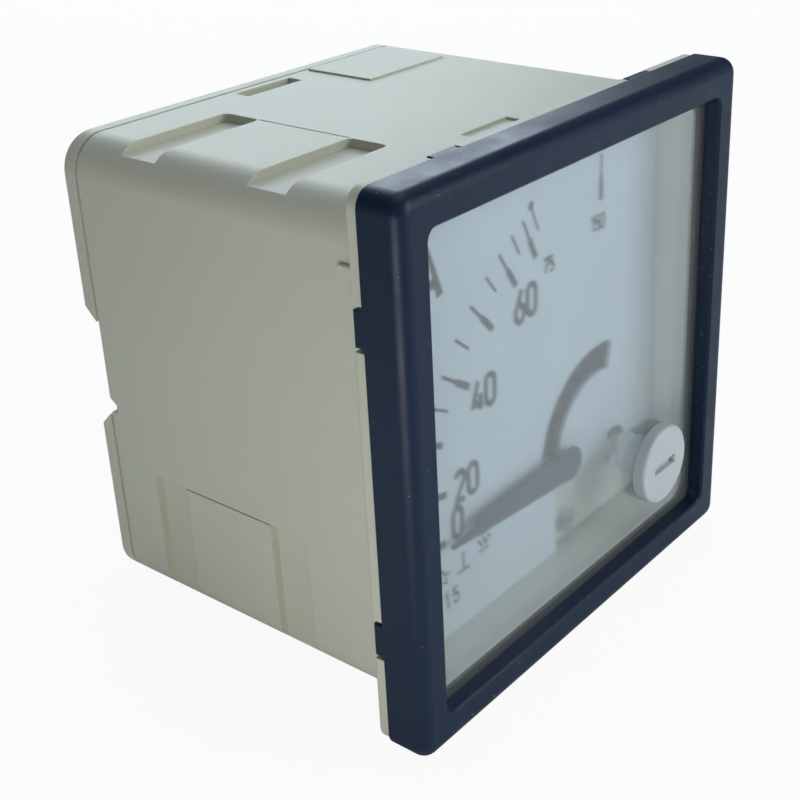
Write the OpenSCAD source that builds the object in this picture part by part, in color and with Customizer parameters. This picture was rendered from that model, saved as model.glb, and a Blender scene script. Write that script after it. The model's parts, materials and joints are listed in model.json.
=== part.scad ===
// Square moving-iron ammeter for a control panel, with a quarter-circle scale.
// Frame: X to the right, Z up, Y into the panel. The origin is the centre of the
// panel cut-out, on the panel's front plane, so the bezel lies at negative Y.
// Angles of the movement are counted from -X (left) towards +Z (up).

/* [Bezel] */
// Width and height of the square bezel
bezel_w = 72; // [68:0.5:80]
// Depth of the bezel in front of the collar
bezel_depth = 5.8; // [5:0.1:8]
// Width of the bezel's visible rim
bezel_rim = 4.7; // [3.8:0.1:5]
// Thickness of the rim that overlaps the window
bezel_lip_t = 2.2; // [1.6:0.1:2.6]
// Thickness of the bezel's side wall
bezel_skirt_t = 1.6; // [1.2:0.1:1.8]
// Corner radius of the bezel seen from the front
bezel_corner_r = 2.3; // [2.2:0.1:4]
// Radius of the bezel's front edge
bezel_edge_r = 1.9; // [0.6:0.1:2]
// Corner radius of the opening
opening_r = 1.4; // [1:0.1:3.5]
// Chamfer of the opening's front edge
opening_chamfer = 0.3; // [0.1:0.05:0.6]
// Length of each of the eight tabs along the side
tab_w = 4.4; // [3:0.1:5]
// Distance of a tab from the middle of its side
tab_offset = 20.2; // [16:0.1:24]
// How far the barb of a tab stands in
tab_barb = 0.3; // [0.1:0.05:0.4]

/* [Window] */
// Thickness of the glass
window_t = 2; // [1.5:0.1:2.2]
// Gap between the glass and the bezel's side wall
window_play = 0.3; // [0.1:0.05:0.6]
// Thickness of the seal behind the glass
seal_t = 0.5; // [0.3:0.05:0.8]

/* [Housing] */
// How far the bezel stands out past each side of the housing
bezel_overhang = 3.5; // [2.6:0.1:3.8]
// Depth of the housing behind the panel, without the rear cover
body_depth = 49; // [46:0.1:60]
// Thickness of the housing's walls
wall_t = 2; // [1.8:0.1:2.4]
// Radius of the housing's long edges
body_edge_r = 4.8; // [3:0.1:6]
// How far the collar stands back from each side of the bezel
collar_inset = 0.2; // [0.1:0.05:0.6]
// Thickness of the collar
collar_t = 1.5; // [1:0.1:2.5]
// Corner radius of the collar
collar_corner_r = 2.4; // [2:0.1:4]
// Length of a tab gap in the collar
collar_gap = 6.4; // [5.6:0.1:8]
// Width along Y of a clamp pocket
pocket_w = 6.2; // [4:0.1:8]
// Depth of a clamp pocket in the wall
pocket_d = 1.2; // [0.6:0.1:1.4]
// Start of the front pockets behind the panel
pocket_front_y = 13.6; // [11:0.1:16]
// Distance between the front and the rear pockets
pocket_pitch = 21.9; // [18:0.1:24]
// Length of a clamp pocket from the open long edge
pocket_l = 19.4; // [14:0.1:22]
// Length of the bare pad on the top face
pad_l = 16.5; // [8:0.5:18]
// Height of the bare pad
pad_h = 0.25; // [0.1:0.05:0.5]

/* [Rear cover] */
// Thickness of the rear cover's plate
cover_t = 2.8; // [1.8:0.1:3.4]
// Radius of the cover's rear edge
cover_edge_r = 0.6; // [0.4:0.1:1.2]
// Width and depth of the seam between cover and housing
seam = 0.5; // [0.3:0.05:0.8]
// Width of a snap tongue
tongue_w = 10; // [6:0.5:12]
// Thickness of a snap tongue
tongue_t = 1.2; // [0.8:0.1:1.6]

/* [Terminals] */
// Diameter of the terminal studs
stud_d = 5; // [4:0.5:6]
// Distance of a stud's axis from the housing's top or bottom
stud_edge = 7.6; // [6.5:0.1:12]
// Length of a stud behind the rear cover
stud_l = 14.5; // [12:0.5:20]
// Thickness of a terminal nut
nut_t = 4; // [3:0.1:4.5]
// Width across flats of a terminal nut
nut_af = 8; // [7:0.5:9]
// Thickness of a terminal washer
washer_t = 1; // [0.6:0.1:1.5]
// Diameter of a terminal washer
washer_d = 10; // [9:0.5:11]

/* [Dial] */
// Distance of the dial's face behind the panel plane
dial_y = 3; // [2.5:0.1:4]
// Thickness of the dial plate
dial_t = 0.5; // [0.3:0.05:0.6]
// Middle radius of the pointer's slot
slot_r = 12.1; // [11:0.1:13]
// Width of the pointer's slot
slot_w = 4.3; // [3:0.1:5]
// Width of the cut corner, from the inner wall
cut_w = 25.3; // [23:0.1:28]
// Height of the cut corner, from the inner wall
cut_h = 11.2; // [7.5:0.1:11.6]

/* [Movement] */
// Distance of the pointer's axis from the inner wall at the right
pivot_edge_x = 14.5; // [12.2:0.1:16]
// Distance of the pointer's axis from the lower inner wall
pivot_edge_z = 14.5; // [12.8:0.1:16]
// Length of the pointer from its axis to its tip
pointer_l = 36.1; // [30:0.1:42]
// Width of the pointer's blade at its root
pointer_root_w = 5; // [3:0.1:6]
// Thickness of the pointer's blade
pointer_t = 0.4; // [0.2:0.05:0.6]
// Diameter of the spindle
spindle_d = 1.2; // [0.8:0.1:1.4]
// Length of the coil's winding
coil_l = 11; // [8:0.5:13]
// Outer diameter of the coil's winding
coil_d = 22; // [20:0.5:22]
// Bore diameter of the bobbin
bobbin_bore_d = 11.8; // [11:0.1:12.4]
// Thickness of the bobbin's flanges
flange_t = 1.4; // [1:0.1:2]
// Inner depth of the damping chamber
damper_l = 4; // [3:0.1:6]
// Furthest turn of the pointer below zero
pointer_under = 3; // [0:0.5:4]
// Furthest turn of the pointer, with the end of the scale at 90
pointer_over = 93; // [80:0.5:94]

/* [Zero adjuster] */
// Distance of the adjuster's axis from the pointer's axis
adjuster_reach = 5.9; // [4.8:0.1:6.4]
// Direction of the adjuster, below the line to the right
adjuster_dir = 45; // [35:0.5:50]
// Diameter of the adjuster's head
adjuster_d = 11.8; // [9:0.1:12.4]
// Thickness of the adjuster's head
adjuster_t = 1.9; // [1.4:0.1:2.1]
// Length of the adjuster's driver slot
driver_l = 5.6; // [4:0.1:9]
// Diameter of the adjuster's stem in the window
stem_d = 6; // [5:0.1:6.4]
// Distance of the crank pin from the adjuster's axis
crank_r = 2; // [1.5:0.05:2.2]
// Diameter of the crank pin
crank_d = 1.2; // [1:0.05:1.4]

/* [Hidden] */
$fn = 64;

// Gaps: a sliding gap between moulded parts, a running gap round a turning part
play = 0.1;
run = 0.05;
eps = 0.5;

// Depths along Y, from the front to the back
bezel_front = -collar_t - bezel_depth;
window_front = bezel_front + bezel_lip_t;
window_back = window_front + window_t;
spigot_front = window_back + seal_t;
body_back = body_depth;
cover_back = body_back + cover_t;
dial_back = dial_y + dial_t;
pointer_front = dial_y - 1.8;
bridge_front = dial_back + 0.5;
bridge_t = 1.2;
bridge_back = bridge_front + bridge_t;
lever_front = bridge_back + 0.2;
lever_t = 0.4;
lever_back = lever_front + lever_t;
spring_front = lever_back + 0.35;
spring_h = 0.5;
arm_front = spring_front + spring_h + 0.3;
arm_t = 0.4;
carrier_front = arm_front + arm_t + 0.8;
carrier_t = 2;
carrier_back = carrier_front + carrier_t;
coil_front = carrier_back + flange_t;
coil_back = coil_front + coil_l;
bobbin_back = coil_back + flange_t;
damper_wall = 1;
damper_back = bobbin_back + damper_wall + damper_l;
damper_cover_t = 1.2;
bearing_back = damper_back + damper_cover_t + 1.4;

// Widths
body_w = bezel_w - 2 * bezel_overhang;
collar_w = bezel_w - 2 * collar_inset;
opening_w = bezel_w - 2 * bezel_rim;
skirt_inner_w = bezel_w - 2 * bezel_skirt_t;
window_w = skirt_inner_w - 2 * window_play;
spigot_w = window_w;
inner_w = body_w - 2 * wall_t;
inner_r = body_edge_r - wall_t;
notch_floor_w = skirt_inner_w - 2 * tab_barb - 2 * play;
dial_w = inner_w - 2 * play;
pocket_end = body_w / 2 - pocket_l;
stud_z = body_w / 2 - stud_edge;
cut_x = inner_w / 2 - cut_w;
cut_z = cut_h - inner_w / 2;
pivot_x = inner_w / 2 - pivot_edge_x;
pivot_z = pivot_edge_z - inner_w / 2;
lip_w = inner_w - 4 * play;

// Snap windows near the rear edge and shallow marks near the collar
snap_y = body_back - 3.6;
snap_h = 2.6;
snap_gap_w = tongue_w + 0.6;
mark_y = 6.8;
mark_w = 9.6;
mark_l = 2.3;
mark_d = 0.35;

// Rim of the rear cover inside the housing
cover_lip = 2;

// Side recess of the rear cover
recess_top = 7.2;
recess_bottom = -5.5;
recess_d = wall_t + 0.9;

// Screw columns in the corners of the housing
column_r = 2.4;
column_at = inner_w / 2 - 2.9;

// Small screws
screw_d = 2.2;
screw_head_d = 3.8;
screw_head_t = 0.8;
screw_grip = 2;

// Posts of the carrier
dial_post_x = dial_w / 2 - 2.4;
dial_post_z = dial_w / 2 - 11.9;
dial_post_low_z = dial_w / 2 - 22.9;
dial_post_d = 4.2;
bridge_post = [[cut_x + 3.4, 3.5 - dial_w / 2], [dial_w / 2 - 2.9, cut_z - 2.7]];
bridge_post_d = 4.6;

// Movement
bobbin_wall = 0.8;
flange_d = coil_d + 1.2;
hub_d = 3.2;
collet_d = 2;
collet_gap = 0.08;
bearing_d = 3;
crank_top = pointer_front - 0.4;
slot_start = -8;
slot_end = pointer_over + 11;
arm_w = 1.6;
stem_w = 1.2;
tail_l = 7.4;
tail_w = 0.8;
weight_d = 1.8;
weight_l = 2.4;
stop_r = 9;
stop_d = 1.2;
stop_angle = asin((arm_w / 2 + stop_d / 2 + play) / stop_r);
vane_r = coil_d / 2 - 1;
iron_r = bobbin_bore_d / 2 - 1.15;
spring_r = 4.1;
spring_turns = 4;
spring_t = 0.16;
adjuster_x = pivot_x + adjuster_reach * cos(adjuster_dir);
adjuster_z = pivot_z - adjuster_reach * sin(adjuster_dir);
crank_swing = 40;
lug_w = 3.4;
lug_h = 10;

// Terminals
stud_flange_d = 6;
stud_flange_t = 2;
eye_t = 0.5;
thread_d = 0.9 * stud_d;
thread_relief = 0.02;
second_washer_y = cover_back + washer_t + nut_t;
nuts_end = second_washer_y + washer_t + nut_t;

// Colours
navy = [0.13, 0.19, 0.29];
ivory = [0.86, 0.86, 0.78];
white = [0.93, 0.94, 0.93];
black = [0.07, 0.07, 0.08];
steel = [0.62, 0.63, 0.65];
brass = [0.78, 0.62, 0.32];
copper = [0.72, 0.42, 0.26];
aluminium = [0.80, 0.81, 0.82];
nylon = [0.90, 0.91, 0.90];

// ---------------------------------------------------------------- helpers

// Extrudes a flat outline, drawn with X right and Y up, from y0 to y1 in depth
module in_depth(y0, y1) {
    translate([0, y1, 0]) rotate([90, 0, 0]) linear_extrude(y1 - y0) children();
}

// Round bar along Y from y0 to y1
module rod(d, y0, y1) {
    translate([0, y0, 0]) rotate([-90, 0, 0]) cylinder(d = d, h = y1 - y0);
}

// Square with round corners
module soft_square(w, r) {
    square([w, w - 2 * r], center = true);
    square([w - 2 * r, w], center = true);
    for (x = [-1, 1], y = [-1, 1]) translate([x, y] * (w / 2 - r)) circle(r);
}

// Square block with round corners, from y0 to y1
module soft_prism(w, r, y0, y1) {
    in_depth(y0, y1) soft_square(w, r);
}

// Half of a block's section: width x, height y, with the far corner rounded by r
module round_shoulder(w, h, r) {
    square([w, h - r]);
    square([w - r, h]);
    translate([w - r, h - r]) intersection() {
        circle(r);
        square(r);
    }
}

// Block with round corners (corner_r) and a round edge (edge_r) at its high Z end
module pillow(w, h, corner_r, edge_r) {
    span = w - 2 * corner_r;
    for (a = [0, 90]) rotate(a) rotate([90, 0, 90]) translate([0, 0, -span / 2])
        linear_extrude(span) for (m = [0, 1]) mirror([m, 0]) round_shoulder(w / 2, h, edge_r);
    for (x = [-1, 1], y = [-1, 1]) translate([x, y, 0] * span / 2)
        rotate_extrude() round_shoulder(corner_r, h, edge_r);
}

// Rounded square plug that widens by its own height, as a 45 degree chamfer cut
module chamfer_plug(w, corner_r, h) {
    span = w - 2 * corner_r;
    for (a = [0, 90]) rotate(a) rotate([90, 0, 90]) translate([0, 0, -span / 2])
        linear_extrude(span) polygon([[-w / 2, 0], [w / 2, 0], [w / 2 + h, h], [-w / 2 - h, h]]);
    for (x = [-1, 1], y = [-1, 1]) translate([x, y, 0] * span / 2)
        cylinder(r1 = corner_r, r2 = corner_r + h, h = h);
}

// Repeats a shape made for the top face on the four sides of the housing
module on_four_sides() {
    for (a = [0:90:270]) rotate([0, -a, 0]) children();
}

// Sector of a ring, between two angles counted from -X towards +Y of the outline
module ring_sector(r0, r1, a0, a1) {
    steps = 24;
    outer = [for (i = [0:steps]) let (a = a0 + (a1 - a0) * i / steps) 1.2 * r1 * [-cos(a), sin(a)]];
    intersection() {
        difference() {
            circle(r1);
            if (r0 > 0) circle(r0);
        }
        polygon(concat([[0, 0]], outer));
    }
}

module at_pivot() {
    translate([pivot_x, 0, pivot_z]) children();
}

module at_adjuster() {
    translate([adjuster_x, 0, adjuster_z]) children();
}

// Screw along Y with its head in front: the head's underside lies at y0
module small_screw(y0, length) {
    difference() {
        union() {
            rod(screw_head_d, y0 - screw_head_t, y0);
            rod(screw_d, y0, y0 + length);
        }
        translate([0, y0 - screw_head_t, 0]) cube([screw_head_d, 0.7, 0.5], center = true);
    }
}

// Flat strap through points, as bars parallel to the axes
module strap(points, w, t) {
    for (i = [0:len(points) - 2]) {
        low = [for (k = [0:2]) min(points[i][k], points[i + 1][k])];
        high = [for (k = [0:2]) max(points[i][k], points[i + 1][k])];
        translate(low) cube(high - low + [w, t, w]);
    }
}

// ---------------------------------------------------------------- front

// Snap-on ring with a round front edge and eight tabs that enter the collar
module bezel() {
    color(navy) {
        difference() {
            translate([0, -collar_t, 0]) rotate([90, 0, 0])
                pillow(bezel_w, bezel_depth, bezel_corner_r, bezel_edge_r);
            soft_prism(skirt_inner_w, bezel_corner_r - 0.8, window_front, 0);
            soft_prism(opening_w, opening_r, bezel_front - eps, window_front + eps);
            translate([0, bezel_front + opening_chamfer, 0]) rotate([90, 0, 0])
                chamfer_plug(opening_w, opening_r, opening_chamfer + play / 10);
        }
        on_four_sides() for (s = [-1, 1]) bezel_tab(s * tab_offset);
    }
}

// Tab at the back of the bezel's top wall, with a barb on its inner side
module bezel_tab(x) {
    outer = collar_w / 2;
    inner = skirt_inner_w / 2;
    translate([x - tab_w / 2, 0, 0]) rotate([90, 0, 90]) linear_extrude(tab_w)
        polygon([[-collar_t, outer], [-play, outer], [0, outer - play], [0, inner],
                 [-0.5, inner - tab_barb], [-0.9, inner], [-collar_t, inner]]);
}

// Glass pane with the hole for the zero adjuster
module window() {
    color("lightblue", 0.4) difference() {
        soft_prism(window_w, 1, window_front, window_back);
        at_adjuster() rod(stem_d + 2 * run, window_front - eps, window_back + eps);
    }
}

// Seal between the glass and the rim of the housing
module window_seal() {
    color(black) difference() {
        soft_prism(spigot_w, 1, window_back, spigot_front);
        soft_prism(inner_w + 1, inner_r, window_back - eps, spigot_front + eps);
    }
}

// ---------------------------------------------------------------- housing

// Moulded square tube, open at both ends, with the collar, pockets and columns
module housing() {
    color(ivory) {
        difference() {
            union() {
                soft_prism(body_w, body_edge_r, 0, body_back);
                soft_prism(body_w, body_edge_r - wall_t, 0, 2.6);
                collar();
                soft_prism(spigot_w, 1, spigot_front, -collar_t);
                on_four_sides() tab_rib(tab_offset + collar_gap / 2 + 1.7);
                bare_pad();
            }
            soft_prism(inner_w, inner_r, spigot_front - eps, body_back + eps);
            on_four_sides() pocket_cuts();
            for (a = [0, 180]) rotate([0, -a, 0]) snap_cuts();
            for (a = [90, 270]) rotate([0, -a, 0]) rear_nick();
        }
        for (x = [-1, 1], z = [-1, 1]) screw_column(x, z);
    }
}

// Flange that rests on the panel, with gaps for the bezel's tabs
module collar() {
    difference() {
        soft_prism(collar_w, collar_corner_r, -collar_t, 0);
        on_four_sides() for (s = [-1, 1]) translate([s * tab_offset, 0, notch_floor_w / 2])
            in_depth(-collar_t - eps, eps) polygon([
                [-collar_gap / 2 + 0.5, 0], [collar_gap / 2 - 0.5, 0],
                [collar_gap / 2 + 0.3, bezel_w / 2], [-collar_gap / 2 - 0.3, bezel_w / 2]]);
    }
}

// Low rib from the collar along the top face, with a round end
module tab_rib(x) {
    rib_w = 1.2;
    rib_l = 4;
    rib_h = 1.6;
    translate([x, 0, body_w / 2 - 1]) {
        translate([-rib_w / 2, 0, 0]) cube([rib_w, rib_l, rib_h]);
        translate([0, rib_l, 0]) cylinder(d = rib_w, h = rib_h);
    }
}

// Plain raised pad at the rear right of the top face
module bare_pad() {
    translate([body_w / 2 - 6 - pad_l, body_back - 12.4, body_w / 2 - 1]) cube([pad_l, 12, 1 + pad_h]);
}

// Clamp pockets of one side and the fine line between them, made for the top face
module pocket_cuts() {
    line_w = 0.24;
    for (y = [pocket_front_y, pocket_front_y + pocket_pitch]) clamp_pocket(y);
    translate([-pocket_end - line_w / 2, pocket_front_y + pocket_w, body_w / 2 - line_w / 2])
        cube([line_w, pocket_pitch - pocket_w, 1]);
}

// Snap window of the cover and the shallow mark near the collar, made for the top face
module snap_cuts() {
    top = body_w / 2;
    translate([-snap_gap_w / 2, snap_y, top - wall_t - eps]) cube([snap_gap_w, snap_h, wall_t + 2 * eps]);
    translate([-mark_w / 2, mark_y, top - mark_d]) cube([mark_w, mark_l, 1]);
}

// Pocket for a mounting clamp, open across the long edge at -X
module clamp_pocket(y) {
    r = 0.8;
    translate([0, 0, body_w / 2 - pocket_d]) linear_extrude(pocket_d + eps) {
        translate([-body_w, y]) square([body_w - pocket_end - r, pocket_w]);
        translate([-body_w, y + r]) square([body_w - pocket_end, pocket_w - 2 * r]);
        for (c = [y + r, y + pocket_w - r]) translate([-pocket_end - r, c]) circle(r);
    }
}

// Small nick in the rear edge of the wall, at the low end of the cover's recess
module rear_nick() {
    depth = 1.2;
    translate([0, 0, body_w / 2 - recess_d]) linear_extrude(recess_d + eps)
        polygon([[recess_bottom, body_back + eps], [recess_bottom, body_back - depth + 0.3],
                 [recess_bottom + 0.3, body_back - depth], [recess_bottom + 1.2, body_back - depth],
                 [recess_bottom + 2.1, body_back], [recess_bottom + 2.1, body_back + eps]]);
}

// Column in a corner of the housing that takes a screw of the carrier
module screw_column(x, z) {
    reach = inner_w / 2 + (wall_t - pocket_d) / 2;
    fill = reach - column_at;
    difference() {
        in_depth(carrier_back, body_back - 4) intersection() {
            translate([x, z] * column_at) {
                circle(column_r);
                for (c = [[fill + column_r, fill], [fill, fill + column_r]])
                    translate([x * (fill - c[0] / 2), z * (fill - c[1] / 2)]) square(c, center = true);
            }
            soft_square(2 * reach, inner_r + reach - inner_w / 2);
        }
        translate([x * column_at, 0, z * column_at]) rod(screw_d - 0.4, carrier_back - eps, carrier_back + 10);
    }
}

// Cover that snaps into the back, with the side recesses and the stud holes
module rear_cover() {
    color(ivory) {
        difference() {
            union() {
                translate([0, body_back + seam, 0]) rotate([-90, 0, 0])
                    pillow(body_w, cover_t - seam, body_edge_r, cover_edge_r);
                soft_prism(body_w - 2 * seam, body_edge_r - seam, body_back, body_back + seam);
            }
            for (a = [90, 270]) rotate([0, -a, 0]) cover_recess();
            for (s = [-1, 1]) translate([0, 0, s * stud_z]) rod(stud_d + 2 * run, body_back - eps, cover_back + eps);
        }
        difference() {
            soft_prism(lip_w, inner_r - play, body_back - cover_lip, body_back);
            soft_prism(lip_w - 2 * tongue_t, inner_r - tongue_t + play, body_back - cover_lip - eps, body_back + eps);
            for (a = [0, 180]) rotate([0, -a, 0])
                translate([-snap_gap_w / 2 - play, body_back - cover_lip - eps, lip_w / 2 - 2 * tongue_t])
                    cube([snap_gap_w + 2 * play, cover_lip + eps, 3 * tongue_t]);
        }
        for (a = [0, 180]) rotate([0, -a, 0]) snap_tongue();
    }
}

// Cut in the cover's plate at the top side, with sloping ends
module cover_recess() {
    translate([0, 0, body_w / 2 - recess_d]) linear_extrude(recess_d + eps)
        polygon([[recess_bottom, body_back - eps], [recess_top, body_back - eps], [recess_top, body_back],
                 [recess_top + cover_t + eps, cover_back + eps],
                 [recess_bottom - cover_t - eps, cover_back + eps], [recess_bottom, body_back]]);
}

// Tongue of the cover with a nose that fills the snap window
module snap_tongue() {
    top = lip_w / 2;
    nose = 0.8;
    translate([-tongue_w / 2, 0, 0]) rotate([90, 0, 90]) linear_extrude(tongue_w)
        polygon([[body_back, top - tongue_t], [body_back, top], [snap_y + snap_h - 0.2, top],
                 [snap_y + snap_h - 0.2, top + nose + play], [snap_y + 1, top + nose + play],
                 [snap_y + 0.3, top], [snap_y - 1, top - 0.2], [snap_y - 1, top - tongue_t]]);
}

// ---------------------------------------------------------------- terminals

// Stud with a flange inside the cover: thread diameter in the nuts, full diameter outside
module terminal_stud(s) {
    color(steel) translate([0, 0, s * stud_z]) {
        rod(stud_flange_d, body_back - stud_flange_t, body_back);
        rod(stud_d, body_back, cover_back);
        rod(thread_d - 2 * thread_relief, cover_back, nuts_end);
        rod(stud_d, nuts_end, cover_back + stud_l);
    }
}

module terminal_stud_upper() { terminal_stud(1); }

module terminal_stud_lower() { terminal_stud(-1); }

// Two hexagon nuts on each stud
module terminal_nuts() {
    color(steel) for (s = [-1, 1], y = [cover_back + washer_t, second_washer_y + washer_t])
        translate([0, 0, s * stud_z]) difference() {
            translate([0, y, 0]) rotate([-90, 30, 0]) cylinder(d = nut_af / cos(30), h = nut_t, $fn = 6);
            rod(thread_d, y - eps, y + nut_t + eps);
        }
}

// A washer under each nut
module terminal_washers() {
    color(steel) for (s = [-1, 1], y = [cover_back, second_washer_y])
        translate([0, 0, s * stud_z]) difference() {
            rod(washer_d, y, y + washer_t);
            rod(stud_d + 0.4, y - eps, y + washer_t + eps);
        }
}

// ---------------------------------------------------------------- dial

// Plate with the arc slot for the pointer and a cut corner for the adjuster
module dial_plate() {
    color(white) difference() {
        in_depth(dial_y, dial_back) difference() {
            soft_square(dial_w, inner_r);
            translate([cut_x, cut_z - dial_w]) square([dial_w, dial_w]);
            translate([adjuster_x, adjuster_z]) circle(crank_r + crank_d / 2 + 0.9);
            translate([pivot_x, pivot_z])
                ring_sector(slot_r - slot_w / 2, slot_r + slot_w / 2, slot_start, slot_end);
        }
        for (z = [-1, 1]) translate([-dial_post_x, 0, z * dial_post_z]) rod(screw_d + 2 * play, dial_y - eps, dial_back + eps);
    }
}

module dial_screws() {
    color(steel) for (z = [-1, 1]) translate([-dial_post_x, 0, z * dial_post_z])
        small_screw(dial_y, dial_t + carrier_front - dial_back - 1);
}

// ---------------------------------------------------------------- movement, fixed parts

// Moulded plate behind the dial that carries the movement
module movement_carrier() {
    color(black) difference() {
        union() {
            soft_prism(dial_w, inner_r, carrier_front, carrier_back);
            for (z = [-1, 1]) translate([-dial_post_x, 0, z * dial_post_z]) rod(dial_post_d, dial_back, carrier_front + eps);
            for (z = [-dial_post_low_z, dial_post_z]) translate([dial_post_x, 0, z]) rod(dial_post_d, dial_back, carrier_front + eps);
            for (p = bridge_post) translate([p[0], 0, p[1]]) rod(bridge_post_d, bridge_back, carrier_front + eps);
            at_pivot() for (a = [-pointer_under - stop_angle, pointer_over + stop_angle])
                rotate([0, a, 0]) translate([-stop_r, 0, 0]) rod(stop_d, arm_front - play, carrier_front + eps);
        }
        at_pivot() rod(bobbin_bore_d - 1, carrier_front - eps, carrier_back + eps);
        for (x = [-1, 1], z = [-1, 1]) translate([x * column_at, 0, z * column_at])
            rod(screw_d + 2 * play, carrier_front - eps, carrier_back + eps);
        for (z = [-1, 1]) translate([-dial_post_x, 0, z * dial_post_z]) rod(screw_d, dial_back - eps, carrier_front);
        for (p = bridge_post) translate([p[0], 0, p[1]]) rod(screw_d, bridge_back - eps, carrier_front + 1);
        at_pivot() coil_screw_places() rod(screw_d + 2 * play, carrier_front - eps, carrier_back + eps);
        at_pivot() coil_screw_places() translate([0, carrier_front, 0]) rotate([-90, 0, 0])
            cylinder(d1 = screw_head_d + 2 * play, d2 = screw_d + 2 * play, h = 1);
    }
}

// Places of the screws that hold the bobbin, away from the pointer's sweep
module coil_screw_places() {
    for (a = [165, 285]) rotate([0, a, 0]) translate([-(coil_d / 2 - 2.6), 0, 0]) children();
}

module carrier_screws() {
    color(steel) for (x = [-1, 1], z = [-1, 1]) translate([x * column_at, 0, z * column_at])
        small_screw(carrier_front, carrier_t) ;
}

// Moulded plate in the cut corner of the dial, with a tongue to the front bearing
module movement_bridge() {
    low = -dial_w / 2 + 0.6;
    right = dial_w / 2 - 0.6;
    color(ivory) difference() {
        in_depth(bridge_front, bridge_back) {
            difference() {
                translate([cut_x + 0.8, low]) square([right - cut_x - 0.8, cut_z - 0.4 - low]);
                translate([right, low]) circle(2);
            }
            translate([right - 2, low + 2]) circle(2);
            translate([pivot_x, pivot_z]) circle(4.2);
            translate([pivot_x - 4.2, cut_z - 2]) square([8.4, pivot_z - cut_z + 2]);
        }
        at_pivot() rod(bearing_d, bridge_front - eps, bridge_back + eps);
        crank_slot();
        for (p = bridge_post) translate([p[0], 0, p[1]]) rod(screw_d + 2 * play, bridge_front - eps, bridge_back + eps);
    }
}

// Slot in the bridge through which the crank pin reaches the lever
module crank_slot() {
    half = crank_d / 2 + 0.3;
    a = 180 + adjuster_dir;
    at_adjuster() in_depth(bridge_front - eps, bridge_back + eps)
        ring_sector(crank_r - half, crank_r + half, a - crank_swing - 22, a + crank_swing + 22);
}

module bridge_screws() {
    color(steel) for (p = bridge_post) translate([p[0], 0, p[1]]) small_screw(bridge_front, bridge_t + screw_grip);
}

// Threaded bearing with a cup for the spindle's front tip
module front_bearing() {
    color(brass) at_pivot() difference() {
        union() {
            rod(bearing_d, dial_back + 0.15, spring_front - 0.2);
            rod(bearing_d + 1.2, lever_back + 0.05, spring_front - 0.2);
        }
        rod(spindle_d - 0.2, bridge_back, spring_front);
        translate([0, dial_back + 0.15, 0]) cube([bearing_d + 1, 0.8, 0.5], center = true);
    }
}

// Threaded bearing in the damping cover
module rear_bearing() {
    color(brass) at_pivot() difference() {
        rod(bearing_d, damper_back - 0.2, bearing_back);
        rod(spindle_d - 0.2, damper_back - eps, damper_back + 0.7);
        translate([0, bearing_back, 0]) cube([bearing_d + 1, 0.8, 0.5], center = true);
    }
}

// Round bobbin with a lug for the two leads
module coil_bobbin() {
    inner = bobbin_bore_d / 2;
    core = inner + bobbin_wall;
    color([0.25, 0.26, 0.28]) difference() {
        union() {
            at_pivot() {
                rod(flange_d, carrier_back, coil_front);
                rod(2 * core, coil_front, coil_back);
                rod(flange_d, coil_back, bobbin_back);
            }
            translate([pivot_x - flange_d / 2 - lug_w + 1, coil_back, pivot_z - lug_h / 2])
                cube([lug_w, flange_t, lug_h]);
        }
        at_pivot() rod(2 * inner, carrier_back - eps, bobbin_back + eps);
        at_pivot() coil_screw_places() rod(screw_d - 0.4, carrier_back - eps, coil_front + eps);
    }
}

module coil_winding() {
    core_d = bobbin_bore_d + 2 * bobbin_wall;
    color(copper) at_pivot() difference() {
        rod(coil_d, coil_front, coil_back);
        rod(core_d, coil_front - eps, coil_back + eps);
        coil_screw_places() rod(screw_d + 0.4, coil_front - eps, coil_front + 2.2);
    }
}

// Countersunk screws that hold the bobbin on the carrier
module coil_screws() {
    color(steel) at_pivot() coil_screw_places() {
        translate([0, carrier_front, 0]) rotate([-90, 0, 0]) cylinder(d1 = screw_head_d, d2 = screw_d, h = 1);
        rod(screw_d, carrier_front + 1, carrier_back);
        rod(screw_d - 0.4, carrier_back, coil_front + 1.6);
    }
}

// Curved plate of soft iron, fixed in the bobbin's bore
module fixed_iron() {
    outer = bobbin_bore_d / 2;
    color([0.35, 0.36, 0.38]) at_pivot() difference() {
        in_depth(coil_front, coil_back) ring_sector(outer - 0.5, outer, 190, 300);
        translate([0, coil_back, -outer]) rotate([0, -25, 0]) cube([outer, coil_l, outer], center = true);
    }
}

// Round chamber behind the coil with a sector for the vane
module damping_chamber() {
    color([0.55, 0.56, 0.58]) at_pivot() difference() {
        rod(flange_d, bobbin_back, damper_back);
        rod(hub_d + 1.4, bobbin_back - eps, damper_back + eps);
        in_depth(bobbin_back + damper_wall, damper_back + eps)
            ring_sector(0, vane_r + 0.6, -pointer_under - 14, pointer_over + 14);
    }
}

module damping_cover() {
    color([0.55, 0.56, 0.58]) at_pivot() difference() {
        rod(flange_d, damper_back, damper_back + damper_cover_t);
        rod(bearing_d, damper_back - eps, damper_back + damper_cover_t + eps);
    }
}

// Flat lead from the bobbin's lug to a stud, ending in an eye on the stud's flange
module lead(s) {
    w = 1.6;
    t = 0.5;
    x = pivot_x - flange_d / 2 - lug_w + 1.4;
    z = pivot_z + s * (lug_h / 2 - w) - w / 2;
    eye_y = body_back - stud_flange_t - eye_t;
    color(copper) {
        strap([[x, bobbin_back, z], [x, eye_y, z], [x, eye_y, s * stud_z - w / 2], [-w / 2, eye_y, s * stud_z - w / 2]], w, t);
        translate([0, 0, s * stud_z]) rod(stud_flange_d - 0.4, eye_y, eye_y + eye_t);
    }
}

module lead_upper() { lead(1); }

module lead_lower() { lead(-1); }

// ---------------------------------------------------------------- movement, moving parts

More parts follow.
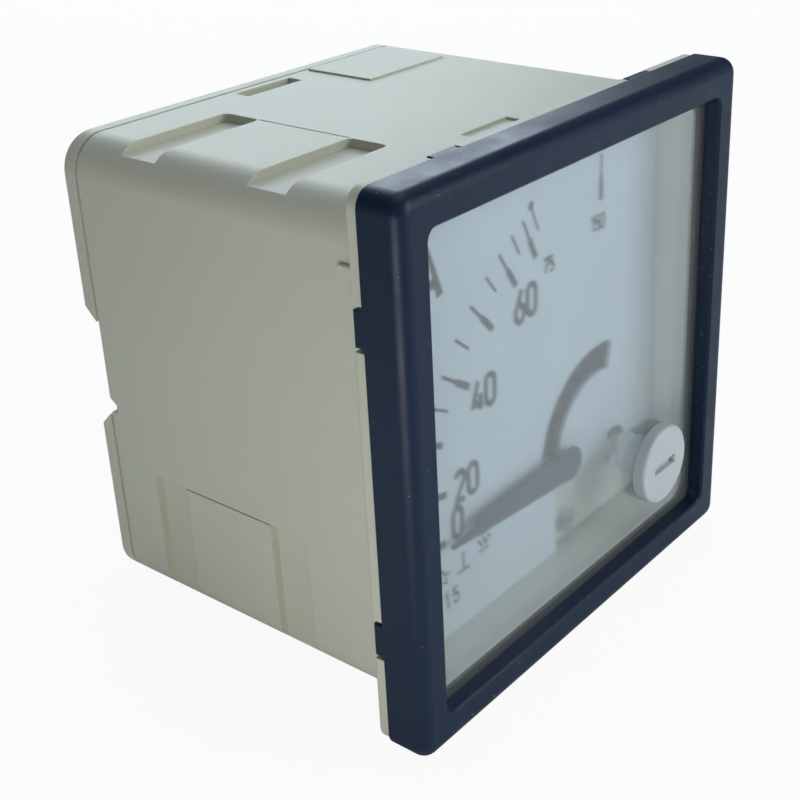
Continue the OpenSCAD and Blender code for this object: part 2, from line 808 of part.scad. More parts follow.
// Outline of the pointer along -X: a slim tip, one step and a tapered blade
module pointer_outline() {
    root = pointer_root_w / 2;
    root_x = slot_r - pointer_root_w / 2 - 0.2;
    step_x = pointer_l - 5.4;
    polygon([[-pointer_l, -0.2], [-root_x, 0.1 - root], [-root_x, root - 0.1], [-step_x, 1.9],
             [-step_x - 0.5, 0.75], [-pointer_l, 0.35]]);
    translate([-root_x, 0]) circle(root);
}

module pointer_blade() {
    color(black) at_pivot() in_depth(pointer_front, pointer_front + pointer_t) pointer_outline();
}

// Arm on the spindle with the stem that passes the dial's slot and two balance tails
module pointer_arm() {
    color(aluminium) at_pivot() difference() {
        union() {
            rod(hub_d, arm_front, carrier_front + carrier_t);
            rod(collet_d, spring_front - 0.1, arm_front);
            translate([-slot_r - stem_w / 2, arm_front, -arm_w / 2]) cube([slot_r + stem_w / 2, arm_t, arm_w]);
            translate([-slot_r - stem_w / 2, pointer_front + pointer_t, -arm_w / 2])
                cube([stem_w, arm_front - pointer_front - pointer_t, arm_w]);
            for (a = [135, 225]) rotate([0, a, 0])
                translate([-tail_l, arm_front, -tail_w / 2]) cube([tail_l, arm_t, tail_w]);
        }
        rod(spindle_d + 0.04, spring_front - eps, carrier_back + eps);
    }
}

// Coiled wire weights on the two tails of the arm
module balance_weights() {
    color(brass) at_pivot() for (a = [135, 225]) rotate([0, a, 0])
        translate([-tail_l + tail_w, arm_front + arm_t / 2, 0]) rotate([0, 90, 0]) difference() {
            cylinder(d = weight_d, h = weight_l);
            cube([tail_w + 0.02, arm_t + 0.02, 3 * weight_l], center = true);
        }
}

// Steel staff with a fine tip at each end
module spindle() {
    color(steel) at_pivot() {
        rod(spindle_d - 0.3, bridge_back + 0.15, spring_front - 0.2);
        rod(spindle_d, spring_front - 0.2, damper_back - 0.35);
        rod(spindle_d - 0.3, damper_back - 0.35, damper_back + 0.6);
    }
}

// Curved iron vane on a web, inside the coil
module moving_iron() {
    color([0.35, 0.36, 0.38]) at_pivot() difference() {
        in_depth(coil_front + 1, coil_back - 1) {
            ring_sector(iron_r - 0.5, iron_r, 200, 250);
            rotate(-225) translate([-iron_r + 0.3, -0.25]) square([iron_r - 0.3, 0.5]);
            circle(hub_d / 2);
        }
        rod(spindle_d + 0.04, coil_front, coil_back);
    }
}

// Thin vane that sweeps the damping chamber
module damping_vane() {
    front = bobbin_back + damper_wall + 0.4;
    back = damper_back - 0.4;
    color(aluminium) at_pivot() difference() {
        union() {
            rod(hub_d, front, back);
            translate([-vane_r, front, -0.2]) cube([vane_r, back - front, 0.4]);
        }
        rod(spindle_d + 0.04, front - eps, back + eps);
    }
}

// Flat spiral from the collet to the lever's post, with a ring at its inner end
module hairspring() {
    inner = collet_d / 2 + collet_gap;
    a_end = 360 * spring_turns;
    start_r = inner + spring_t;
    steps = 24 * spring_turns;
    post_dir = 180 - adjuster_dir;
    spiral = function (a, side) let (r = start_r + (spring_r - start_r) * a / a_end + side * spring_t / 2)
        r * [cos(a - a_end + post_dir), sin(a - a_end + post_dir)];
    color(brass) at_pivot() in_depth(spring_front, spring_front + spring_h) {
        polygon(concat([for (i = [0:steps]) spiral(a_end * i / steps, 1)],
                       [for (i = [steps:-1:0]) spiral(a_end * i / steps, -1)]));
        difference() {
            circle(inner + 1.5 * spring_t);
            circle(inner);
        }
    }
}

// Lever round the front bearing: a fork for the crank pin and a post for the hairspring
module zero_lever() {
    fork_w = crank_d + 0.2;
    reach = adjuster_reach + crank_r + crank_d / 2 + 0.6;
    color(aluminium) at_pivot() rotate([0, adjuster_dir, 0]) {
        difference() {
            in_depth(lever_front, lever_back) {
                circle(bearing_d / 2 + 1);
                translate([0, -fork_w / 2 - 0.8]) square([reach, fork_w + 1.6]);
                translate([-spring_r, -0.6]) square([spring_r, 1.2]);
                translate([-spring_r, 0]) circle(0.6);
            }
            rod(bearing_d + 2 * run, lever_front - eps, lever_back + eps);
            translate([adjuster_reach + crank_r - 2, lever_front - eps, -fork_w / 2])
                cube([reach, lever_t + 2 * eps, fork_w]);
        }
        translate([-spring_r - 0.35, 0, 0]) rod(0.5, lever_back, spring_front + spring_h);
    }
}

// Slotted button through the window, with a crank pin at its inner end
module zero_adjuster() {
    head_back = window_front - play;
    driver_depth = 0.8;
    color(nylon) at_adjuster() {
        difference() {
            rotate([-90, 0, 0]) translate([0, 0, head_back - adjuster_t]) adjuster_head();
            translate([0, head_back - adjuster_t, 0]) cube([driver_l, 2 * driver_depth, 1.4], center = true);
        }
        rod(stem_d, head_back, crank_top);
        rod(stem_d + 1, window_back + play, window_back + play + 0.8);
        rotate([0, adjuster_dir, 0]) translate([crank_r, 0, 0]) rod(crank_d, crank_top, lever_back + 0.2);
    }
}

// Head of the adjuster, with a round front edge
module adjuster_head() {
    edge = 0.5;
    rotate_extrude() {
        translate([0, edge]) square([adjuster_d / 2, adjuster_t - edge]);
        square([adjuster_d / 2 - edge, adjuster_t]);
        translate([adjuster_d / 2 - edge, edge]) circle(edge);
    }
}

// ---------------------------------------------------------------- all nodes

bezel();
window();
window_seal();
housing();
rear_cover();
terminal_stud_upper();
terminal_stud_lower();
terminal_nuts();
terminal_washers();
dial_plate();
dial_screws();
movement_carrier();
carrier_screws();
movement_bridge();
bridge_screws();
front_bearing();
rear_bearing();
coil_bobbin();
coil_winding();
coil_screws();
fixed_iron();
damping_chamber();
damping_cover();
lead_upper();
lead_lower();
pointer_blade();
pointer_arm();
balance_weights();
spindle();
moving_iron();
damping_vane();
hairspring();
zero_lever();
zero_adjuster();
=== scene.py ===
"""Finishes, dial print and studio for a square moving-iron panel ammeter.

Every length is in metres in the part's own frame: X to the right, Z up, Y into the
panel. Angles on the dial are counted from the left (-X) towards the top (+Z).
"""

import json
import logging
import math
from dataclasses import dataclass, field
from enum import Enum
from typing import Dict, Iterable, List, Sequence, Tuple

import bmesh
import bpy
import numpy as np
from mathutils import Matrix, Vector


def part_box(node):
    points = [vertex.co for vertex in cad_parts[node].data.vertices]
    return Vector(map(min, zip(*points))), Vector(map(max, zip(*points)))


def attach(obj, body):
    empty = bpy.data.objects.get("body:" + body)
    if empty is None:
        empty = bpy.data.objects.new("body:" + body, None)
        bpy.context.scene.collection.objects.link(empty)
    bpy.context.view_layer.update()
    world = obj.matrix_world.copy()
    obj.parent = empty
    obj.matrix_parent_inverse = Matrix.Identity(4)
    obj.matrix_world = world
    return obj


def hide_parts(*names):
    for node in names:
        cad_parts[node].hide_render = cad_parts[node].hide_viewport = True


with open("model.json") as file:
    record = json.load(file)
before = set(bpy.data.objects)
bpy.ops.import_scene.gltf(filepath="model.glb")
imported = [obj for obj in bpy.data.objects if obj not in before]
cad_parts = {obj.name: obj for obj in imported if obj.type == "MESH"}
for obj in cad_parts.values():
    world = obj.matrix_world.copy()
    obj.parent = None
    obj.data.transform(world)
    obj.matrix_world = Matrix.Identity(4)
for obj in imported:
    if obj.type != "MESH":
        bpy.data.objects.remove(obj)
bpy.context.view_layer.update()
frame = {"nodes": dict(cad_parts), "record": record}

LOG = logging.getLogger("ammeter")
MM = 0.001
# Height of the print, and how far a threaded stud stays inside its solid
INK_HEIGHT = 0.02 * MM
SKIN = 0.01 * MM
# Chamfers of a nut's hole and of a stud's flange
NUT_CHAMFER = 0.35 * MM
FLANGE_CHAMFER = 0.15 * MM
# Radius of the cover's rear edge and thickness of the housing's collar
COVER_EDGE = 0.6 * MM
COLLAR = 1.5 * MM
Colour = Tuple[float, float, float]
Socket = bpy.types.NodeSocket


# ------------------------------------------------------------------ node sheets


class Sheet:
    """One material's node tree, with short typed calls that add and join nodes."""

    def __init__(self, name: str) -> None:
        """Starts an empty tree with an output.

        Args:
            name: The material's name.
        """
        self.material = bpy.data.materials.new(name)
        self.material.use_nodes = True
        self.tree = self.material.node_tree
        self.tree.nodes.clear()
        self.output = self.tree.nodes.new("ShaderNodeOutputMaterial")
        self.place = self.tree.nodes.new("ShaderNodeTexCoord").outputs["Object"]

    def node(self, kind: str, **values: object) -> bpy.types.Node:
        """Adds a node; a value goes to the input or the property of that name.

        Args:
            kind: Blender's type name without the ShaderNode prefix.
            **values: Input values or sockets, with _ for a space, or node properties.

        Returns:
            The new node.
        """
        made = self.tree.nodes.new("ShaderNode" + kind)
        properties = {k: v for k, v in values.items() if hasattr(made, k)}
        for key, value in properties.items():
            setattr(made, key, value)
        for key, value in values.items():
            if key in properties:
                continue
            slot = made.inputs[key.replace("_", " ")]
            if isinstance(value, bpy.types.NodeSocket):
                self.tree.links.new(value, slot)
            else:
                slot.default_value = value
        return made

    def stretched(self, scale: Sequence[float]) -> Socket:
        """Object coordinates scaled along each axis."""
        return self.node("Mapping", Vector=self.place, Scale=tuple(scale)).outputs["Vector"]

    def noise(self, scale: float, detail: float = 3.0, vector: Socket = None) -> Socket:
        """Noise value at a number of cells per metre."""
        return self.node("TexNoise", Vector=vector or self.place, Scale=scale, Detail=detail).outputs["Fac"]

    def span(self, value: Socket, low: float, high: float, to_low: float, to_high: float) -> Socket:
        """Maps a value's span onto another span, clamped at both ends."""
        made = self.node("MapRange", Value=value, From_Min=low, From_Max=high, To_Min=to_low, To_Max=to_high)
        return made.outputs["Result"]

    def maths(self, operation: str, first: object, second: object = 0.0) -> Socket:
        """One arithmetic step on two values."""
        made = self.tree.nodes.new("ShaderNodeMath")
        made.operation = operation
        for slot, value in zip(made.inputs, (first, second)):
            if isinstance(value, bpy.types.NodeSocket):
                self.tree.links.new(value, slot)
            else:
                slot.default_value = value
        return made.outputs[0]

    def blend(self, factor: Socket, first: Colour, second: Colour) -> Socket:
        """Blends two colours, each a colour or a socket."""
        made = self.tree.nodes.new("ShaderNodeMix")
        made.data_type = "RGBA"
        self.tree.links.new(factor, made.inputs[0])
        for slot, value in ((made.inputs[6], first), (made.inputs[7], second)):
            if isinstance(value, bpy.types.NodeSocket):
                self.tree.links.new(value, slot)
            else:
                slot.default_value = (*value, 1.0)
        return made.outputs[2]

    def relief(self, height: Socket, depth: float, strength: float = 1.0, under: Socket = None) -> Socket:
        """Bump normal of a height between 0 and 1, with a depth in metres."""
        made = self.node("Bump", Height=height, Distance=depth, Strength=strength)
        if under is not None:
            self.tree.links.new(under, made.inputs["Normal"])
        return made.outputs["Normal"]

    def specks(self, scale: float, size: float, share: float) -> Socket:
        """Mask of small round specks in a share of the cells.

        The mask is 1 where the distance to the cell's point is below the size and the
        cell's random value is below the share.
        """
        cell = self.node("TexVoronoi", Vector=self.place, Scale=scale)
        near = self.maths("LESS_THAN", cell.outputs["Distance"], size)
        picked = self.node("SeparateColor", Color=cell.outputs["Color"]).outputs[0]
        return self.maths("MULTIPLY", near, self.maths("LESS_THAN", picked, share))

    def principled(self, **values: object) -> bpy.types.Node:
        """Adds the principled shader and joins it to the output."""
        made = self.node("BsdfPrincipled", **values)
        self.tree.links.new(made.outputs[0], self.output.inputs[0])
        return made


# ------------------------------------------------------------------ finishes


@dataclass(frozen=True)
class Moulding:
    """Moulded plastic with a fine spark-eroded grain, faint flow marks and dust.

    Attributes:
        name: Material name.
        colour: Base colour.
        shade: Colour of the darker flow clouds.
        rough: Lowest and highest roughness.
        grain: Cells per metre of the grain.
        grain_depth: Depth of the grain in metres.
        dust: Share of the cells that hold a dust speck.
        scratches: Whether short hairline scratches are drawn.
        glow: Weight of light passing under the surface.
        worn: Radius by which sharp edges look rounded.
        sheen: Level of the reflection, with 0.5 for a plain plastic.
    """

    name: str
    colour: Colour
    shade: Colour
    rough: Tuple[float, float] = (0.38, 0.5)
    grain: float = 5200.0
    grain_depth: float = 0.00002
    dust: float = 0.0
    scratches: bool = False
    glow: float = 0.0
    worn: float = 0.00025
    sheen: float = 0.5

    def build(self) -> bpy.types.Material:
        """Builds the material."""
        sheet = Sheet(self.name)
        clouds = sheet.span(sheet.noise(38.0, 4.0), 0.35, 0.68, 0.0, 1.0)
        colour = sheet.blend(clouds, self.colour, self.shade)
        rough = sheet.span(sheet.noise(260.0, 3.0), 0.3, 0.7, *self.rough)
        worn = sheet.node("Bevel", Radius=self.worn, samples=8).outputs["Normal"]
        normal = sheet.relief(sheet.noise(self.grain, 2.0), self.grain_depth, 0.6, worn)
        normal = sheet.relief(sheet.noise(90.0, 1.0), 0.000012, 0.35, normal)
        if self.dust > 0.0:
            pale = tuple(0.45 * c + 0.28 for c in self.colour)
            colour = sheet.blend(sheet.specks(900.0, 0.12, self.dust), colour, pale)
            colour = sheet.blend(sheet.specks(2300.0, 0.16, self.dust), colour, pale)
        if self.scratches:
            bent = sheet.node("TexNoise", Vector=sheet.place, Scale=140.0, Detail=1.0)
            lines = sheet.node(
                "TexVoronoi", Vector=bent.outputs["Color"], Scale=9.0, feature="DISTANCE_TO_EDGE"
            )
            thin = sheet.maths("LESS_THAN", lines.outputs["Distance"], 0.0035)
            rare = sheet.maths("GREATER_THAN", sheet.noise(75.0, 2.0), 0.64)
            mark = sheet.maths("MULTIPLY", sheet.maths("MULTIPLY", thin, rare), 0.35)
            colour = sheet.blend(mark, colour, tuple(0.5 * c + 0.2 for c in self.colour))
        made = sheet.principled(Base_Color=colour, Roughness=rough, Normal=normal, IOR=1.5)
        made.inputs["Specular IOR Level"].default_value = self.sheen
        if self.glow > 0.0:
            made.inputs["Subsurface Weight"].default_value = self.glow
            made.inputs["Subsurface Radius"].default_value = (1.0, 0.85, 0.55)
            made.inputs["Subsurface Scale"].default_value = 0.0008
        return sheet.material


class Lay(Enum):
    """Direction in which a metal's fine working marks run."""

    TURNED = (1.0, 30.0, 1.0)
    ROLLED = (1.0, 1.0, 24.0)
    CAST = (1.0, 1.0, 1.0)


@dataclass(frozen=True)
class Metal:
    """Bare metal with working marks and a little tarnish.

    Attributes:
        name: Material name.
        colour: Bright colour.
        tarnish: Colour of dull patches.
        lay: Direction of the marks.
        rough: Lowest and highest roughness.
    """

    name: str
    colour: Colour
    tarnish: Colour
    lay: Lay = Lay.TURNED
    rough: Tuple[float, float] = (0.22, 0.42)

    def build(self) -> bpy.types.Material:
        """Builds the material."""
        sheet = Sheet(self.name)
        along = sheet.stretched(self.lay.value)
        marks = sheet.noise(900.0, 3.0, along)
        patches = sheet.span(sheet.noise(210.0, 4.0), 0.45, 0.7, 0.0, 0.8)
        sheet.principled(
            Base_Color=sheet.blend(patches, self.colour, self.tarnish),
            Metallic=1.0,
            Roughness=sheet.span(marks, 0.3, 0.7, *self.rough),
            Normal=sheet.relief(marks, 0.00001, 0.5),
        )
        return sheet.material


@dataclass(frozen=True)
class Coat:
    """Matt paint, ink or lacquer on a smooth ground.

    Attributes:
        name: Material name.
        colour: Colour of the coat.
        rough: Roughness.
        mottle: How far the colour wanders, from 0 to 1.
    """

    name: str
    colour: Colour
    rough: float = 0.6
    mottle: float = 0.05

    def build(self) -> bpy.types.Material:
        """Builds the material."""
        sheet = Sheet(self.name)
        clouds = sheet.span(sheet.noise(120.0, 4.0), 0.35, 0.65, 0.0, 1.0)
        darker = tuple(c * (1.0 - self.mottle) for c in self.colour)
        sheet.principled(
            Base_Color=sheet.blend(clouds, self.colour, darker),
            Roughness=self.rough,
            Normal=sheet.relief(sheet.noise(7000.0, 2.0), 0.000006, 0.5),
        )
        return sheet.material


@dataclass(frozen=True)
class FrostedGlass:
    """Etched anti-glare glass that blurs more the deeper a thing lies behind it.

    Attributes:
        name: Material name.
        tint: Colour of the pane.
        rough: Roughness of the etched faces.
        haze: Share of light scattered by the etching.
        shade: Colour that the light keeps on its way in.
    """

    name: str
    tint: Colour = (0.9, 0.95, 0.97)
    rough: float = 0.09
    haze: float = 0.09
    shade: Colour = (0.86, 0.9, 0.92)

    def build(self) -> bpy.types.Material:
        """Builds the material."""
        sheet = Sheet(self.name)
        pane = sheet.node(
            "BsdfPrincipled",
            Base_Color=(*self.tint, 1.0),
            Roughness=self.rough,
            IOR=1.45,
            Transmission_Weight=1.0 - self.haze,
            Normal=sheet.relief(sheet.noise(4200.0, 2.0), 0.000004, 0.4),
        )
        clear = sheet.node("BsdfTransparent", Color=(*self.shade, 1.0))
        rays = sheet.node("LightPath")
        passing = sheet.maths("MAXIMUM", rays.outputs["Is Shadow Ray"], rays.outputs["Is Diffuse Ray"])
        mixed = sheet.tree.nodes.new("ShaderNodeMixShader")
        sheet.tree.links.new(passing, mixed.inputs[0])
        sheet.tree.links.new(pane.outputs[0], mixed.inputs[1])
        sheet.tree.links.new(clear.outputs[0], mixed.inputs[2])
        sheet.tree.links.new(mixed.outputs[0], sheet.output.inputs[0])
        return sheet.material


@dataclass(frozen=True)
class Winding:
    """Enamelled wire laid turn by turn round an axis along Y.

    Attributes:
        name: Material name.
        colour: Colour of the enamel.
        dark: Colour of the darker patches.
    """

    name: str
    colour: Colour = (0.50, 0.15, 0.05)
    dark: Colour = (0.16, 0.04, 0.015)

    def build(self) -> bpy.types.Material:
        """Builds the material."""
        sheet = Sheet(self.name)
        patches = sheet.span(sheet.noise(400.0, 3.0), 0.35, 0.7, 0.0, 0.7)
        sheet.principled(
            Base_Color=sheet.blend(patches, self.colour, self.dark),
            Metallic=0.7,
            Roughness=0.32,
            Coat_Weight=0.6,
            Coat_Roughness=0.12,
        )
        return sheet.material


# ------------------------------------------------------------------ mesh makers


def mesh_piece(
    name: str, points: np.ndarray, faces: Sequence[Sequence[int]], smooth: bool = False
) -> bpy.types.Object:
    """Makes an object at the origin from points and faces.

    Args:
        name: Object and mesh name.
        points: Array of n by 3 positions in metres.
        faces: Lists of point numbers.
        smooth: Whether the faces shade smoothly.

    Returns:
        The linked object, with its normals facing outwards.
    """
    mesh = bpy.data.meshes.new(name)
    mesh.from_pydata(points.tolist(), [], [list(f) for f in faces])
    mesh.validate()
    mesh.polygons.foreach_set("use_smooth", np.full(len(mesh.polygons), smooth))
    mesh.update()
    made = bpy.data.objects.new(name, mesh)
    bpy.context.scene.collection.objects.link(made)
    return made


def grid_faces(rows: int, columns: int, wrap_rows: bool, wrap_columns: bool) -> np.ndarray:
    """Quads of a grid of points stored row by row.

    Args:
        rows: Number of rows.
        columns: Number of columns.
        wrap_rows: Whether the last row joins the first.
        wrap_columns: Whether the last column joins the first.

    Returns:
        Array of four point numbers for each quad.
    """
    i, j = np.meshgrid(
        np.arange(rows if wrap_rows else rows - 1),
        np.arange(columns if wrap_columns else columns - 1),
        indexing="ij",
    )
    up, over = (i + 1) % rows, (j + 1) % columns
    corners = [i * columns + j, i * columns + over, up * columns + over, up * columns + j]
    return np.stack(corners, -1).reshape(-1, 4)


# ------------------------------------------------------------------ print on the dial


@dataclass
class Stroke:
    """One pen stroke of a character, as a smooth line of points in a unit box."""

    points: np.ndarray
    closed: bool = False

    @staticmethod
    def line(*corners: Tuple[float, float]) -> "Stroke":
        """Straight pieces through corners."""
        return Stroke(np.array(corners, float))

    @staticmethod
    def arc(centre: Tuple[float, float], radii: Tuple[float, float], start: float, end: float) -> "Stroke":
        """Part of an ellipse: centre plus radii times (cos a, sin a) from start to end in degrees."""
        angle = np.radians(np.linspace(start, end, 25))
        across, up = centre[0] + radii[0] * np.cos(angle), centre[1] + radii[1] * np.sin(angle)
        return Stroke(np.stack([across, up], -1))

    @staticmethod
    def joined(*parts: "Stroke") -> "Stroke":
        """One stroke that runs through all parts in turn."""
        return Stroke(np.concatenate([p.points for p in parts]))


class Lettering:
    """Plain technical characters drawn with strokes of one width.

    The unit box is 1 high; each character lists its strokes and its width.
    """

    WIDTH = 0.44

    def __init__(self) -> None:
        """Prepares the strokes of every character that the dial needs."""
        w, arc, line, joined = self.WIDTH, Stroke.arc, Stroke.line, Stroke.joined
        h = w / 2
        self.strokes: Dict[str, List[Stroke]] = {
            "0": [joined(arc((h, 1 - h), (h, h), 0, 180), arc((h, h), (h, h), 180, 360), line((w, 1 - h)))],
            "1": [line((0.02, 0.76), (0.26, 1.0), (0.26, 0.0))],
            "2": [joined(arc((h, 1 - h), (h, h), 165, -25), line((0.0, 0.0)), line((w, 0.0)))],
            "4": [line((0.36, 0.0), (0.36, 0.55)), line((0.24, 1.0), (0.0, 0.24), (w + 0.02, 0.24))],
            "5": [
                joined(
                    line((w - 0.03, 1.0), (0.05, 1.0), (0.02, 0.55)),
                    arc((h, 0.34), (h, 0.3), 130, -140),
                )
            ],
            "6": [joined(arc((h, h), (h, h + 0.07), 120, -240), line((0.33, 1.0)))],
            "7": [line((0.0, 1.0), (w, 1.0), (0.14, 0.0))],
            "A": [line((0.0, 0.0), (0.33, 1.0), (0.66, 0.0)), line((0.11, 0.31), (0.55, 0.31))],
            ".": [line((0.0, 0.0), (0.0, 0.07))],
        }
        self.widths: Dict[str, float] = {"1": 0.3, "A": 0.66, ".": 0.04}

    def write(self, text: str, height: float) -> List[np.ndarray]:
        """Lines of points for a word, centred on the origin.

        Args:
            text: The word.
            height: Height of the characters in metres.

        Returns:
            One array of points for each stroke, in metres.
        """
        gap, pen, lines = 0.2, 0.0, []
        for letter in text:
            for stroke in self.strokes[letter]:
                lines.append(stroke.points + [pen, 0.0])
            pen += self.widths.get(letter, self.WIDTH) + gap
        middle = np.array([(pen - gap) / 2, 0.5])
        return [(points - middle) * height for points in lines]


def ribbon(points: np.ndarray, width: float) -> Tuple[np.ndarray, np.ndarray]:
    """Flat band along a line: each point moved half a width along its normal, both ways.

    Args:
        points: Array of n by 2 positions.
        width: Width of the band in the same unit.

    Returns:
        The 2n points of the band and its quads.
    """
    keep = np.concatenate([[True], np.linalg.norm(np.diff(points, axis=0), axis=1) > 1e-9])
    points = points[keep]
    ahead = np.diff(points, axis=0)
    ahead /= np.linalg.norm(ahead, axis=1, keepdims=True)
    before, after = np.vstack([ahead[:1], ahead]), np.vstack([ahead, ahead[-1:]])
    tangent = before + after
    tangent /= np.linalg.norm(tangent, axis=1, keepdims=True)
    normal = np.stack([-tangent[:, 1], tangent[:, 0]], -1)
    stretch = 1.0 / np.clip(np.sum(tangent * after, axis=1, keepdims=True), 0.6, 1.0)
    side = normal * stretch * width / 2
    return np.vstack([points + side, points - side]), grid_faces(2, len(points), False, False)


class PrintSheet:
    """Collects flat shapes and turns them into one thin printed piece on the dial."""

    def __init__(self, name: str, face_y: float) -> None:
        """Starts an empty print.

        Args:
            name: Name of the piece.
            face_y: Depth of the dial's front face.
        """
        self.name = name
        self.face_y = face_y
        self.points: List[np.ndarray] = []
        self.faces: List[List[int]] = []
        self.count = 0

    def add(self, points: np.ndarray, faces: Iterable[Sequence[int]]) -> None:
        """Adds a flat shape given by (x, z) points and faces."""
        self.points.append(np.asarray(points, float))
        self.faces.extend([[int(i) + self.count for i in face] for face in faces])
        self.count += len(points)

    def band(self, points: np.ndarray, width: float, place: Sequence[float] = (0.0, 0.0)) -> None:
        """Adds a band along a line, moved to a place."""
        shape, faces = ribbon(np.asarray(points, float) + np.asarray(place, float), width)
        self.add(shape, faces)

    def disc(self, centre: Sequence[float], radius: float) -> None:
        """Adds a filled disc: centre plus radius times (cos a, sin a)."""
        angle = np.linspace(0.0, 2 * math.pi, 32, endpoint=False)
        self.add(np.asarray(centre) + radius * np.stack([np.cos(angle), np.sin(angle)], -1), [range(32)])

    def build(self, finish: bpy.types.Material) -> bpy.types.Object:
        """Makes the piece: every shape lies 0.02 mm proud of the dial and faces the front."""
        flat = np.vstack(self.points)
        placed = np.stack([flat[:, 0], np.full(len(flat), self.face_y), flat[:, 1]], -1)
        made = mesh_piece(self.name, placed, self.faces)
        area = made.data
        backward = sum(1 for polygon in area.polygons if polygon.normal.y > 0)
        if backward > len(area.polygons) / 2:
            area.flip_normals()
        thick = made.modifiers.new("ink", "SOLIDIFY")
        thick.thickness = INK_HEIGHT
        thick.offset = 1.0
        area.materials.append(finish)
        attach(made, "case")
        return made


@dataclass
class DialPrint:
    """Scale, numbers, unit and small marks on the dial.

    Attributes:
        pivot: The pointer axis as (x, z).
        face_y: Depth of the dial's front face.
        inner: Inner radius of a main tick.
        middle: Radius at which a main tick narrows, and where a fine tick starts.
        outer: Outer radius of all ticks.
    """

    pivot: Tuple[float, float]
    face_y: float
    inner: float = 35.5 * MM
    middle: float = 38.5 * MM
    outer: float = 41.9 * MM
    main_ticks: Tuple[float, ...] = (0.0, 11.0, 33.5, 46.2, 56.7, 64.7, 90.0)
    fine_ticks: Tuple[float, ...] = (28.0, 40.0, 52.0, 61.0)
    finishes: Dict[str, bpy.types.Material] = field(default_factory=dict)

    def along(self, angle: float, radius: float) -> np.ndarray:
        """Point at an angle and radius: pivot plus radius times (-cos a, sin a)."""
        a = math.radians(angle)
        return np.array(self.pivot) + radius * np.array([-math.cos(a), math.sin(a)])

    def ticks(self) -> bpy.types.Object:
        """Main ticks with a broad inner half, fine ticks and the dotted mark with its dot."""
        sheet = PrintSheet("dial_ticks", self.face_y)
        for angle in self.main_ticks:
            sheet.band([self.along(angle, self.inner), self.along(angle, self.middle + 0.2 * MM)], 1.0 * MM)
            sheet.band([self.along(angle, self.middle), self.along(angle, self.outer)], 0.5 * MM)
        for angle in self.fine_ticks:
            sheet.band([self.along(angle, self.middle), self.along(angle, self.outer)], 0.42 * MM)
        sheet.band([self.along(21.5, self.middle - 0.6 * MM), self.along(21.5, self.outer)], 0.9 * MM)
        sheet.band([self.along(67.7, self.middle), self.along(67.7, self.outer)], 0.42 * MM)
        sheet.disc(self.along(67.7, self.outer + 0.6 * MM), 0.6 * MM)
        return sheet.build(self.finishes["ink"])

    def numbers(self) -> bpy.types.Object:
        """Numbers of the scale, the unit and the two small end numbers."""
        sheet, pen = PrintSheet("dial_numbers", self.face_y), Lettering()
        words = (
            ("0", (-16.9, -14.3), 4.1, 0.92),
            ("20", (-14.8, -9.3), 4.1, 0.92),
            ("40", (-10.7, 1.7), 4.1, 0.92),
            ("60", (-1.5, 10.8), 4.1, 0.92),
            ("75", (3.7, 14.2), 2.0, 0.48),
            ("150", (15.3, 16.5), 2.0, 0.48),
            ("A", (-20.6, 20.6), 6.0, 1.3),
        )
        for text, place, height, width in words:
            for line in pen.write(text, height * MM):
                sheet.band(line, width * MM, np.array(place) * MM)
        return sheet.build(self.finishes["ink"])

    def marks(self) -> bpy.types.Object:
        """Small general marks: star, upright mounting, iron movement and a class figure."""
        sheet, pen = PrintSheet("dial_marks", self.face_y), Lettering()
        star = np.array([-20.4, -21.0]) * MM
        tip = np.linspace(0.0, 2 * math.pi, 11) + math.pi / 2
        reach = np.where(np.arange(11) % 2 == 0, 1.35, 0.6)[:, None] * MM
        sheet.band(star + reach * np.stack([np.cos(tip), np.sin(tip)], -1), 0.3 * MM)
        foot = np.array([-16.0, -20.6]) * MM
        sheet.band(foot + np.array([[-1.4, -1.3], [1.4, -1.3]]) * MM, 0.4 * MM)
        sheet.band(foot + np.array([[0.0, -1.3], [0.0, 1.4]]) * MM, 0.4 * MM)
        iron = np.array([-11.6, -19.8]) * MM
        wave = np.linspace(0.0, 2.5 * 2 * math.pi, 60)
        curl = np.stack([wave / wave[-1] * 2.6 - 1.3, 0.55 * np.sin(wave)], -1) * MM
        sheet.band(iron + curl, 0.3 * MM)
        sheet.band(iron + np.array([[-1.1, -1.25], [1.1, -1.25]]) * MM, 0.35 * MM)
        sheet.band(iron + np.array([[-1.1, 1.25], [1.1, 1.25]]) * MM, 0.35 * MM)
        for line in pen.write("1.5", 2.4 * MM):
            sheet.band(line, 0.4 * MM, np.array([-18.7, -24.8]) * MM)
        return sheet.build(self.finishes["ink"])

    def build(self) -> List[bpy.types.Object]:
        """Builds the three printed pieces."""
        return [self.ticks(), self.numbers(), self.marks()]


# ------------------------------------------------------------------ fasteners


